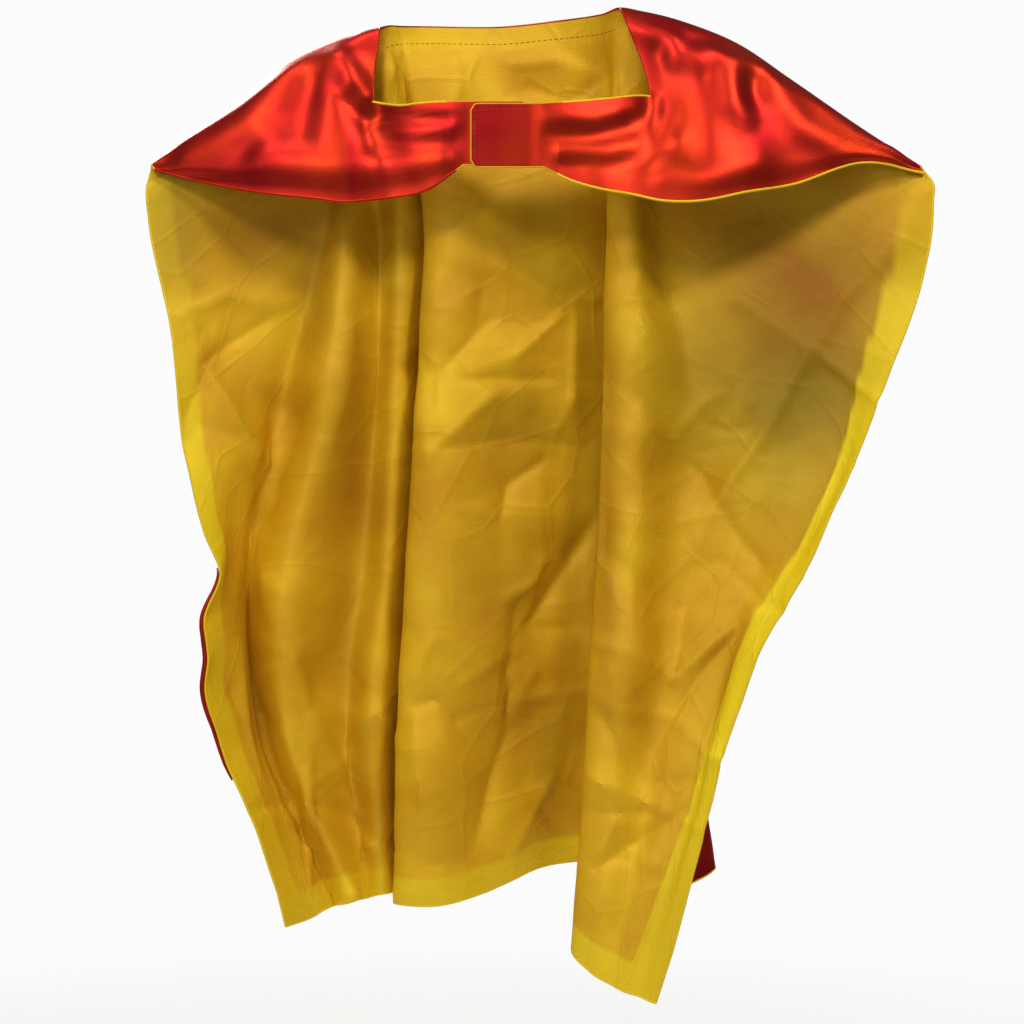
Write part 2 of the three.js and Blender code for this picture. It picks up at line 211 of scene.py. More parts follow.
def back_line(k, falls):
    """Points of back fold line k at the given falls."""
    top, hem, xs, ys = FOLD_LINES[k]
    known = LEFT_FALLS if k == 0 else RIGHT_FALLS if k == LAST else FALLS
    controls = np.column_stack([np.array(xs) * WIDE, np.array(ys) * DEEP])
    if on_ridge(k):
        controls[0, 1] += RIDGE_ROUND
    xy = curve_at(known, controls, falls)
    length = (top - hem) * TALL
    if on_ridge(k):
        xy[:, 1] -= ridge_lag(length * falls)
    return np.column_stack([xy, top * TALL - length * falls])


def flap_line(line, k, rs):
    """Points of a flap's line at r, 0 on the ridge and 1 on the front edge."""
    ridge = back_line(k, np.array([0.0]))[0]
    mid, edge = place(line[0]), place(line[1])
    points = curve_at([0, 0.5, 1], [ridge - [0, RIDGE_ROUND, 0], mid, edge], rs)
    length = np.linalg.norm(ridge - mid) + np.linalg.norm(mid - edge)
    points[:, 1] += ridge_lag(rs * length)
    return points


def graded(total, grain):
    """Fractions along a length: short steps where the cloth turns over the ridge, then even ones."""
    marks = [0, 0.3, 0.8, 1.6, 2.7, 4.1, 5.9, 8.1]
    count = round((total - marks[-1]) / grain)
    marks += [marks[-1] + (total - marks[-1]) * (i + 1) / count for i in range(count)]
    return np.array(marks) / total


# ---------------------------------------------------------------- the cloth's middle surface
class Cloth:
    """Quads over shared points. Its outer side, along the normals, is the satin side."""

    def __init__(self):
        self.points = np.zeros((0, 3))
        self.uv = np.zeros((0, 2))
        self.part = []
        self.quads = []

    def add_points(self, points, uv):
        first = len(self.points)
        self.points = np.vstack([self.points, points])
        self.uv = np.vstack([self.uv, uv])
        return np.arange(first, len(self.points))

    def add_quads(self, rows, flipped, part):
        """rows are equally long rows of point numbers."""
        for upper, lower in zip(rows[:-1], rows[1:]):
            quads = np.column_stack([upper[:-1], upper[1:], lower[1:], lower[:-1]])
            self.quads.extend(quads[:, ::-1].tolist() if flipped else quads.tolist())
            self.part.extend([part] * len(quads))

    def quads_of(self, *parts):
        return [q for q, p in zip(self.quads, self.part) if p in parts]

    def normals(self):
        quads = np.array(self.quads)
        a, b, c, d = (self.points[quads[:, i]] for i in range(4))
        face = np.cross(c - a, d - b)
        total = np.zeros_like(self.points)
        for i in range(4):
            np.add.at(total, quads[:, i], face)
        return total / np.maximum(np.linalg.norm(total, axis=1), 1e-9)[:, None]


def column_stations():
    """Stations across the back, denser where the cloth is wider."""
    falls = np.linspace(0, 1, 9)
    lines = np.stack([back_line(k, falls) for k in range(LAST + 1)])
    widths = np.linalg.norm(np.diff(lines, axis=0), axis=2).mean(1)
    stations = [0.0]
    for k, width in enumerate(widths):
        count = max(2, math.ceil(width / GRAIN))
        stations += [k + (i + 1) / count for i in range(count)]
    edges = np.concatenate([[0], np.cumsum(widths)])
    return np.array(stations), np.interp(stations, np.arange(LAST + 1), edges)


def add_back(cloth):
    stations, across = column_stations()
    falls = graded(BACK_LENGTH, GRAIN)
    lines = np.stack([back_line(k, falls) for k in range(LAST + 1)])
    rows = []
    for r, fall in enumerate(falls):
        points = along_row(lines[:, r], stations)
        down = np.full(len(across), -BACK_LENGTH * fall)
        rows.append(cloth.add_points(points, np.column_stack([across, down])))
    cloth.add_quads(rows, False, "back")
    return stations, across, rows


def strap_pairs(strap, hinge_x, tab_box):
    """Top and bottom points of a neck strap, ending on its tab's hinge."""
    low, high = tab_box
    depth = tab_middle(tab_box)
    pairs = [(place(top), place(bottom)) for top, bottom in strap]
    pairs.append((np.array([hinge_x, depth, high[2] / MM]), np.array([hinge_x, depth, low[2] / MM])))
    return pairs


def tab_middle(tab_box):
    low, high = tab_box
    return (low[1] + high[1]) / 2 / MM


def tab_box(name):
    """The box of both layers of a tab."""
    low_a, high_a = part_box(f"{name}_satin")
    low_b, high_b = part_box(f"{name}_lining")
    return [min(p, q) for p, q in zip(low_a, low_b)], [max(p, q) for p, q in zip(high_a, high_b)]


def patch_touch(name):
    """Where a tab's middle surface lies when its cloth just touches its own fastener patch."""
    if name == "over_tab":
        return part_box("hook_patch")[0][1] / MM - OUTER - PATCH_GAP
    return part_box("loop_patch")[1][1] / MM + OUTER + PATCH_GAP


def tab_columns(name, hinge_x, out, rs):
    """Columns of a tab's middle surface beyond its hinge, and their distances from it.

    The free end has round corners, and the front tab's waves a little."""
    low, high = tab_box(name)
    end = (high[0] if out > 0 else low[0]) / MM
    reach = abs(end - hinge_x)
    count = round(reach / TAB_GRAIN)
    v = 2 * rs - 1
    middle, half = (low[2] + high[2]) / 2 / MM, (high[2] - low[2]) / 2 / MM
    columns = []
    for i in range(1, count + 1):
        run = reach * i / count
        short = max(0.0, TAB_CORNER - (reach - run))
        lost = TAB_CORNER - math.sqrt(max(0.0, TAB_CORNER**2 - short**2))
        z = middle + (half - lost) * (1 - 2 * v)
        x = hinge_x + out * run
        lean = (patch_touch(name) - tab_middle((low, high))) * smooth(0, 9, run)
        wave = 0.35 * np.sin(v * 7 + 1) * smooth(reach - 4, reach, run) * (1 if out < 0 else 0)
        columns.append(np.column_stack([np.full_like(v, x), tab_middle((low, high)) + lean - abs(wave), z]))
    return columns, np.array([reach * i / count for i in range(count)]) + reach / count


def ridge_part(stations, left):
    """Numbers of the back's columns under a flap, tip first, and their stations along the flap."""
    if left:
        columns = np.nonzero(stations <= NECK_LEFT)[0]
        return columns, stations[columns]
    columns = np.nonzero(stations >= NECK_RIGHT)[0][::-1]
    return columns, LAST - stations[columns]


def add_flap(cloth, side, back):
    """One shoulder flap, its neck strap and its tab, joined to the back's first row."""
    stations, across, back_rows = back
    left = side == "left"
    lines = LEFT_FLAP if left else RIGHT_FLAP
    index = (lambda k: k) if left else (lambda k: LAST - k)
    count = len(lines) - 1
    name = "under_tab" if left else "over_tab"
    hinge_x = frame_joint(f"{name}_open")["pos_m"][0] / MM
    ridge_columns, flap_stations = ridge_part(stations, left)
    rs = graded(FLAP_LENGTH, GRAIN)
    rs[np.argmin(abs(rs - 0.5))] = 0.5  # the strap's top row
    strap = strap_pairs(LEFT_STRAP if left else RIGHT_STRAP, hinge_x, tab_box(name))
    tail = np.concatenate([count + k + (np.arange(n) + 1) / n for k, n in enumerate(STRAP_STEPS)])
    columns, runs = tab_columns(name, hinge_x, 1 if left else -1, rs[rs >= 0.5])
    drawn = np.stack([flap_line(line, index(k), rs) for k, line in enumerate(lines)])
    across_flap = across[ridge_columns]
    step = (across_flap[-1] - across_flap[0]) / len(across_flap)
    flap_rows = [back_rows[0][ridge_columns]]
    strap_rows = []
    for r in range(1, len(rs)):
        points = drawn[:, r]
        down = FLAP_LENGTH * rs[r]
        every = flap_stations
        if rs[r] >= 0.5:
            v = 2 * rs[r] - 1
            points = np.vstack([points, [top + (bottom - top) * v for top, bottom in strap]])
            every = np.concatenate([flap_stations, tail])
        row = along_row(points, every)
        u = across_flap[-1] + step * np.arange(1, len(every) - len(flap_stations) + 1)
        u = np.concatenate([across_flap, u])
        numbers = cloth.add_points(row, np.column_stack([u, np.full(len(u), down)]))
        flap_rows.append(numbers[: len(flap_stations)])
        if rs[r] >= 0.5:
            on_tab = len(strap_rows)
            beyond = np.array([column[on_tab] for column in columns])
            beyond_u = u[-1] + runs * np.sign(step)
            more = cloth.add_points(beyond, np.column_stack([beyond_u, np.full(len(beyond), down)]))
            strap_rows.append((numbers[len(flap_stations) - 1 :], more))
    cloth.add_quads(flap_rows, left, side + "_flap")
    split = -4  # the tab's own cloth starts this many columns before the hinge
    cloth.add_quads([row[: split or None] for row, _ in strap_rows], left, side + "_strap")
    cloth.add_quads([np.concatenate([row[split - 1 :], more]) for row, more in strap_rows], left, name)
    return {
        "rows": flap_rows,
        "front": np.concatenate([flap_rows[-1], strap_rows[-1][0][1:split]]),
        "tab_edge": [np.concatenate([row[split - 1 :], more]) for row, more in strap_rows],
        "top": strap_rows[0][0][:split],
        "neck": np.array([row[-1] for row in flap_rows[: len(flap_rows) - len(strap_rows) + 1]]),
        "side": np.array([row[0] for row in flap_rows]),
    }


# ---------------------------------------------------------------- creases
# Pressed-in creases of the back, as seen from the front:
# (height towards the lining side, reach, [(x, z), ...]).
BACK_CREASES = [
    (1.5, 4, [(-63, -12), (-68, -17), (-73, -26), (-76, -49)]),
    (1.1, 5, [(-35, -20), (-32, -38), (-41, -60)]),
    (1.2, 6, [(-20, -14), (0, -24), (26, -22)]),
    (-1.0, 6, [(10, -38), (34, -46), (58, -30)]),
    (1.0, 5, [(-8, -46), (14, -58), (30, -62)]),
    (2.4, 9, [(-200, -175), (-185, -205), (-157, -250), (-150, -262)]),
    (-1.5, 7, [(-186, -204), (-168, -190), (-148, -178)]),
    (1.2, 5, [(-196, -178), (-180, -193)]),
    (-1.2, 6, [(-175, -200), (-158, -215)]),
    (1.4, 6, [(-195, -148), (-172, -164), (-145, -170), (-128, -165)]),
    (1.3, 6, [(-200, -175), (-172, -163)]),
    (-1.4, 7, [(-184, -208), (-195, -234)]),
    (-1.3, 7, [(-191, -237), (-157, -251)]),
    (1.6, 9, [(-98, -180), (-104, -215), (-111, -252)]),
    (1.0, 5, [(-92, -158), (-87, -175)]),
    (-2.2, 10, [(-131, -235), (-150, -300)]),
    (2.2, 9, [(-148, -330), (-135, -375), (-122, -415), (-110, -440), (-95, -470), (-85, -490), (-70, -498)]),
    (1.7, 7, [(-145, -332), (-136, -343), (-127, -373), (-131, -378)]),
    (-1.2, 6, [(-125, -380), (-118, -397)]),
    (-1.7, 8, [(-167, -400), (-155, -425), (-148, -445)]),
    (2.0, 9, [(-100, -440), (-82, -412), (-70, -427)]),
    (-1.8, 8, [(-157, -472), (-140, -467), (-130, -465)]),
    (1.3, 6, [(-157, -472), (-130, -480)]),
    (-2.0, 8, [(-117, -467), (-95, -475), (-85, -487), (-70, -495)]),
    (1.2, 5, [(-118, -455), (-107, -447)]),
    (1.6, 7, [(-84, -490), (-80, -520)]),
    (1.6, 7, [(-84, -492), (-97, -523)]),
    (0.7, 4, [(-123, -410), (-122, -525)]),
    (2.0, 12, [(-50, -97), (-25, -110), (0, -125), (25, -140)]),
    (1.8, 7, [(-10, -145), (12, -158), (22, -163), (35, -166), (50, -165)]),
    (2.0, 6, [(0, -200), (28, -175)]),
    (1.2, 5, [(36, -168), (36, -222)]),
    (0.9, 4, [(18, -163), (18, -175)]),
    (-1.0, 5, [(-17, -155), (-20, -177)]),
    (-1.5, 7, [(-47, -210), (-25, -190), (-13, -177)]),
    (0.9, 4, [(-47, -170), (-32, -170)]),
    (-0.9, 7, [(-30, -212), (55, -213)]),
    (1.5, 7, [(-47, -257), (-35, -243), (-12, -222)]),
    (-1.7, 8, [(-40, -253), (0, -248), (45, -253)]),
    (1.5, 7, [(23, -252), (35, -225)]),
    (-2.0, 8, [(-5, -293), (0, -275), (20, -262), (23, -250)]),
    (0.9, 5, [(-35, -290), (-5, -295)]),
    (-2.2, 9, [(35, -318), (50, -298)]),
    (1.4, 6, [(-52, -240), (-50, -262)]),
    (1.3, 6, [(-33, -398), (-15, -385), (0, -375)]),
    (-1.8, 8, [(-58, -410), (-50, -405), (-42, -406), (-32, -416)]),
    (-1.4, 7, [(-32, -417), (-2, -405)]),
    (1.9, 7, [(-59, -415), (-55, -440), (-53, -475), (-52, -503)]),
    (1.2, 6, [(-67, -410), (-47, -370)]),
    (1.5, 6, [(-4, -345), (12, -335), (20, -320)]),
    (-2.6, 10, [(45, -310), (30, -330), (11, -360)]),
    (-2.0, 9, [(3, -350), (-2, -385), (0, -425), (-10, -450), (-18, -485)]),
    (-1.1, 5, [(15, -362), (38, -361)]),
    (1.5, 6, [(12, -388), (3, -405), (30, -402), (45, -399)]),
    (1.9, 8, [(-2, -500), (8, -478), (23, -453)]),
    (-1.2, 5, [(15, -470), (30, -483)]),
    (-0.9, 5, [(-52, -503), (-25, -502), (0, -500)]),
    (1.6, 8, [(133, -165), (180, -197), (222, -228)]),
    (2.2, 9, [(232, -130), (200, -165), (180, -197), (155, -240), (123, -285)]),
    (-2.0, 8, [(77, -222), (95, -240), (101, -258), (112, -268), (122, -285), (131, -300), (148, -322)]),
    (1.3, 6, [(100, -245), (112, -230), (125, -222)]),
    (-1.0, 5, [(118, -240), (125, -243), (145, -243)]),
    (1.0, 5, [(128, -213), (140, -200)]),
    (1.0, 4, [(75, -178), (80, -187)]),
    (1.2, 6, [(120, -290), (112, -312)]),
    (1.0, 5, [(145, -263), (165, -265)]),
    (1.6, 7, [(52, -371), (75, -380), (97, -393)]),
    (-1.4, 6, [(107, -325), (102, -350), (98, -383), (97, -416)]),
    (1.9, 7, [(98, -393), (120, -373), (145, -352)]),
    (-1.6, 6, [(97, -415), (115, -385), (138, -362)]),
    (1.6, 7, [(97, -416), (120, -438), (128, -443)]),
    (1.7, 7, [(65, -412), (97, -416)]),
    (-1.6, 7, [(125, -320), (148, -345), (160, -350)]),
    (-1.5, 7, [(55, -417), (75, -452)]),
    (1.8, 7, [(48, -452), (70, -463), (90, -470)]),
    (-1.5, 6, [(50, -473), (75, -473), (90, -470)]),
    (1.5, 6, [(90, -471), (98, -476), (115, -483)]),
    (-1.8, 7, [(98, -475), (75, -490), (50, -505)]),
    (1.6, 6, [(50, -502), (62, -478)]),
    (1.2, 5, [(103, -468), (114, -457)]),
    (1.5, 6, [(68, -497), (88, -505)]),
    (-1.2, 6, [(50, -505), (65, -499), (72, -500)]),
]
# Soft folds of the satin shoulders and neck straps, as seen from the front.
FLAP_FOLDS = [
    (4.0, 9, [(-213, -87), (-158, -56), (-135, -31), (-124, -22), (-113, -22), (-106, -32)]),
    (3.2, 6, [(-104, -12), (-99, -26), (-88, -43)]),
    (-4.0, 9, [(-121, -33), (-127, -62)]),
    (-3.5, 6, [(-106, -36), (-94, -46), (-86, -58)]),
    (2.2, 4, [(-98, -38), (-86, -50)]),
    (3.0, 10, [(-148, -68), (-150, -80), (-113, -88), (-88, -87), (-44, -80)]),
    (-2.0, 7, [(-160, -74), (-146, -60)]),
    (1.8, 4, [(-82, -62), (-56, -63), (-34, -60)]),
    (1.6, 4, [(-58, -51), (-40, -52), (-26, -49)]),
    (-1.8, 4, [(-78, -56), (-40, -57)]),
    (-1.8, 5, [(-84, -72), (-56, -74), (-36, -72)]),
    (4.4, 7, [(66, 6), (79, 0), (95, -9), (99, -19), (112, -21), (121, -17), (130, -27), (134, -46),
              (142, -56)]),
    (3.0, 7, [(138, -20), (152, -28), (163, -46), (175, -62), (199, -75), (226, -80)]),
    (-3.2, 9, [(99, -29), (105, -48), (107, -76)]),
    (-2.8, 6, [(145, -33), (145, -58)]),
    (-2.4, 6, [(88, -16), (90, -40), (84, -52)]),
    (2.6, 9, [(50, -90), (79, -88), (116, -95), (145, -84)]),
    (-2.6, 6, [(33, -86), (60, -86), (80, -84), (98, -70)]),
    (2.0, 5, [(22, -56), (48, -57), (72, -50)]),
    (-1.8, 5, [(24, -66), (50, -66), (70, -60)]),
    (1.4, 4, [(30, -76), (58, -76), (74, -72)]),
]


def front_view(points):
    """Where points appear on the plane y = 0, seen from the front."""
    near = VIEW_DISTANCE / (VIEW_DISTANCE + points[:, 1])
    return np.column_stack([points[:, 0] * near, EYE[1] + (points[:, 2] - EYE[1]) * near])


def path_distance(places, path):
    path = np.array(path, float) * [WIDE, TALL]
    nearest = np.full(len(places), 1e9)
    for a, b in zip(path[:-1], path[1:]):
        run = b - a
        t = np.clip(((places - a) @ run) / (run @ run), 0, 1)
        nearest = np.minimum(nearest, np.linalg.norm(places - (a + t[:, None] * run), axis=1))
    return nearest


def pressed(places, creases):
    """Narrow sharp-topped ridges along the creases."""
    total = np.zeros(len(places))
    for height, reach, path in creases:
        total += PRESSED_GAIN * height * np.exp(-2.2 * path_distance(places, path) / reach)
    return total


def gathered(places, folds):
    """Round-topped folds."""
    total = np.zeros(len(places))
    for height, reach, path in folds:
        away = path_distance(places, path) / (reach * FOLD_SPREAD)
        total += FOLD_GAIN * height * np.exp(-(away**2))
    return total


def small_creases(count, seed):
    """Short faint creases scattered over the back."""
    chance = np.random.default_rng(seed)
    made = []
    for _ in range(count):
        start = chance.uniform([-205, -520], [235, -120])
        turn = chance.uniform(0, 2 * math.pi)
        length = chance.uniform(10, 38)
        bend = turn + chance.uniform(-0.6, 0.6)
        middle = start + length * 0.5 * np.array([math.cos(turn), math.sin(turn)])
        end = middle + length * 0.5 * np.array([math.cos(bend), math.sin(bend)])
        height = chance.uniform(0.3, 0.9) * chance.choice([-1, 1])
        made.append((height, chance.uniform(3, 5), [tuple(start), tuple(middle), tuple(end)]))
    return made


def facets(places, creases, count, rise, seed):
    """Flat facets with straight edges: a sheet of triangles over the creases' ends and scattered corners."""
    chance = np.random.default_rng(seed)
    corners, heights, edges = [], [], []
    for height, _, path in creases:
        edges += [(len(corners) + i, len(corners) + i + 1) for i in range(len(path) - 1)]
        corners += [(x * WIDE, z * TALL) for x, z in path]
        heights += [FACET_GAIN * height * (1 if 0 < i < len(path) - 1 else 0.6) for i in range(len(path))]
    corners += [tuple(c) for c in chance.uniform([-250, -600], [285, 20], (count, 2)) * [WIDE, TALL]]
    heights += list(chance.uniform(-rise, rise, count))
    # Far corners at no height, so that the sheet reaches past the cape on every side.
    corners += [(x, z) for x in (-400, 400) for z in (-800, 200)]
    heights = np.array([*heights, 0, 0, 0, 0])
    apart = np.linalg.norm(np.array(corners)[:, None] - np.array(corners)[None], axis=2)
    near = np.exp(-((apart / CORNER_BLEND) ** 2))
    heights = near @ heights / near.sum(1)
    made, _, faces, origins, _, _ = delaunay_2d_cdt([Vector(c) for c in corners], edges, [], 0, 0.5)
    given = np.array(corners)
    sheet = []
    for corner, origin in zip(made, origins):
        known = origin or [int(np.argmin(np.linalg.norm(given - corner, axis=1)))]
        sheet.append((*corner, float(heights[known].mean())))
    tree = BVHTree.FromPolygons(sheet, faces)
    return np.array([tree.ray_cast(Vector((x, z, 50)), Vector((0, 0, -1)))[0][2] for x, z in places])


def evened(cloth, values, rounds, least):
    """Each value becomes the least, or the mean, over the quads around its point, several times over."""
    quads = np.array(cloth.quads)
    for _ in range(rounds):
        if least:
            made = values.copy()
            np.minimum.at(made, quads, values[quads].min(1)[:, None])
        else:
            shares = np.bincount(quads.ravel(), minlength=len(values))
            sums = np.bincount(quads.ravel(), np.repeat(values[quads].mean(1), 4), len(values))
            made = sums / np.maximum(shares, 1)
        values = made
    return values


def touching(cloth):
    """Numbers of the points where the cloth comes within CLEAR of another of its folds."""
    quads = np.array(cloth.quads)
    normals = cloth.normals()
    middle = BVHTree.FromPolygons(cloth.points.tolist(), cloth.quads)
    found = []
    for side in (-CLEAR, CLEAR):
        face = BVHTree.FromPolygons((cloth.points + normals * side).tolist(), cloth.quads)
        found += [number for pair in face.overlap(middle) for number in pair]
    return np.unique(quads[found]) if found else []


def raise_creases(cloth, normals, height):
    """Moves the points by their heights, flattening the creases wherever two folds would touch.

    It ends when flattening them further parts no more folds."""
    flat = cloth.points.copy()
    kept = np.ones(len(height))
    before = len(height)
    while True:
        cloth.points = flat + normals * (height * kept)[:, None]
        near = touching(cloth)
        if len(near) >= before or not len(near):
            return
        before = len(near)
        calm = np.ones(len(height))
        calm[near] = 0.35
        spread = evened(cloth, calm, rounds=2, least=True)
        kept = kept * evened(cloth, spread, rounds=3, least=False)


HINGE_PLACES = [frame_joint(f"{name}_open")["pos_m"][0] / MM for name in ("under_tab", "over_tab")]


def crumple(cloth, back_count, over_from):
    """Moves the middle surface along its normals.

    The back's points come first, then the left flap's, and the right flap's start at over_from."""
    normals = cloth.normals()
    view = front_view(cloth.points)
    height = np.zeros(len(cloth.points))
    back = np.arange(back_count)
    # Creases start below the ridge, and are low where the cloth runs from front to back.
    hanging = smooth(4, 26, -cloth.uv[back, 1])
    facing = 0.25 + 0.75 * smooth(0.15, 0.7, abs(normals[back, 1]))
    seen = view[back]
    lining_side = pressed(seen, BACK_CREASES) + pressed(seen, small_creases(count=90, seed=11))
    large = facets(seen, BACK_CREASES, count=60, rise=2.4, seed=4)
    lining_side += large + facets(seen, [], count=420, rise=1.9, seed=6)
    height[back] = -lining_side * hanging * facing
    flap = np.arange(back_count, len(cloth.points))
    # Folds start off the ridge, are lower at the front edge, and end where the tabs begin.
    inward = smooth(2, 14, cloth.uv[flap, 1])
    edge = 1 - 0.6 * smooth(FLAP_LENGTH - 10, FLAP_LENGTH, cloth.uv[flap, 1])
    under, over = HINGE_PLACES
    x = cloth.points[flap, 0]
    onto_tab = np.where(flap < over_from, x - under, over - x)
    down = cloth.uv[flap, 1] / FLAP_LENGTH
    # The lower edge tucks in, less on the right flap.
    tuck = -3.2 * smooth(0.78, 1, down) * np.where(flap < over_from, 1, 0.45)
    tuck *= 1 - smooth(-30, -8, onto_tab)
    height[flap] = tuck + gathered(view[flap], FLAP_FOLDS) * inward * edge * (1 - smooth(-14, 9, onto_tab))
    raise_creases(cloth, normals, height)


# ---------------------------------------------------------------- meshes
def new_object(name, vertices, faces, uv=None, attributes=None):
    mesh = bpy.data.meshes.new(name)
    mesh.from_pydata((np.asarray(vertices) * MM).tolist(), [], faces)
    mesh.validate()
    if uv is not None:
        layer = mesh.uv_layers.new(name="cloth")
        loops = np.empty(len(mesh.loops), dtype=np.int32)
        mesh.loops.foreach_get("vertex_index", loops)
        layer.data.foreach_set("uv", (np.asarray(uv)[loops] * MM).ravel().astype(np.float32))
    for key, values in (attributes or {}).items():
        attribute = mesh.attributes.new(key, "FLOAT", "POINT")
        attribute.data.foreach_set("value", np.asarray(values, np.float32))
    mesh.shade_smooth()
    mesh.set_sharp_from_angle(angle=math.radians(SHARP_ANGLE))
    made = bpy.data.objects.new(name, mesh)
    bpy.context.scene.collection.objects.link(made)
    return made


def shell(name, cloth, quads, low, high, attributes):
    """A closed cloth of quads between two offsets from the middle surface."""
    normals = cloth.normals()
    quads = np.array(quads)
    used, local = np.unique(quads, return_inverse=True)
    local = local.reshape(quads.shape)
    count = len(used)
    vertices = np.vstack([
        cloth.points[used] + normals[used] * high,
        cloth.points[used] + normals[used] * low,
    ])
    faces = local.tolist() + (local[:, ::-1] + count).tolist()
    edges = {(a, b) for q in local.tolist() for a, b in zip(q, q[1:] + q[:1])}
    faces += [[b, a, a + count, b + count] for a, b in edges if (b, a) not in edges]
    doubled = {key: np.tile(values[used], 2) for key, values in attributes.items()}
    return new_object(name, vertices, faces, np.tile(cloth.uv[used], (2, 1)), doubled)


def ring_faces(first, rings, sides):
    """Faces between rings of points that start at number first, and a cap on each end."""
    faces = []
    for i in range(rings - 1):
        for s in range(sides):
            t = (s + 1) % sides
            a = first + i * sides
            faces.append([a + s, a + t, a + sides + t, a + sides + s])
    faces.append([first + s for s in range(sides)][::-1])
    faces.append([first + (rings - 1) * sides + s for s in range(sides)])
    return faces


def tube(name, path, radii, hem=0, sides=8):
    """A closed round bead along a path. hem is how much of the hem's colour its lining shows."""
    path = np.asarray(path, float)
    keep = np.concatenate([[True], np.linalg.norm(np.diff(path, axis=0), axis=1) > 0.05])
    path = path[keep]
    radii = np.broadcast_to(radii, len(keep))[keep]
    tangents = np.gradient(path, axis=0)
    tangents /= np.linalg.norm(tangents, axis=1)[:, None]
    side = np.cross(tangents[0], [0.3, 1, 0.2])
    turns = np.arange(sides) * 2 * math.pi / sides
    vertices = []
    for point, tangent, radius in zip(path, tangents, radii):
        side = side - tangent * (side @ tangent)
        side /= np.linalg.norm(side)
        other = np.cross(tangent, side)
        ring = np.outer(np.cos(turns), side) + np.outer(np.sin(turns), other)
        vertices.append(point + ring * radius)
    faces = ring_faces(0, len(path), sides)
    lengths = np.concatenate([[0], np.cumsum(np.linalg.norm(np.diff(path, axis=0), axis=1))])
    uv = np.column_stack([np.tile(turns * radii.mean(), len(path)), np.repeat(lengths, sides)])
    return new_object(name, np.vstack(vertices), faces, uv, {"hem": np.full(len(uv), hem)})


def stitches(name, path, length, gap, radius):
    """A row of separate thread stitches along a path, each a small capsule."""
    path = np.asarray(path, float)
    lengths = np.concatenate([[0], np.cumsum(np.linalg.norm(np.diff(path, axis=0), axis=1))])
    sides = 6
    turns = np.arange(sides) * 2 * math.pi / sides
    profile = [(0.0, 0.25), (0.2, 0.9), (0.5, 1.0), (0.8, 0.9), (1.0, 0.25)]
    vertices, faces = [], []
    for start in np.arange(1, lengths[-1] - length, length + gap):
        ends = [np.array([np.interp(start + s, lengths, path[:, a]) for a in range(3)]) for s in (0, length)]
        run = (ends[1] - ends[0]) / max(np.linalg.norm(ends[1] - ends[0]), 1e-6)
        side = np.cross(run, [0.1, 1, 0.1])
        side /= np.linalg.norm(side)
        other = np.cross(run, side)
        first = len(vertices)
        for f, fat in profile:
            middle = ends[0] + (ends[1] - ends[0]) * f
            vertices.extend(middle + (math.cos(t) * side + math.sin(t) * other) * radius * fat for t in turns)
        faces += ring_faces(first, len(profile), sides)
    return new_object(name, np.array(vertices), faces, np.zeros((len(vertices), 2)))


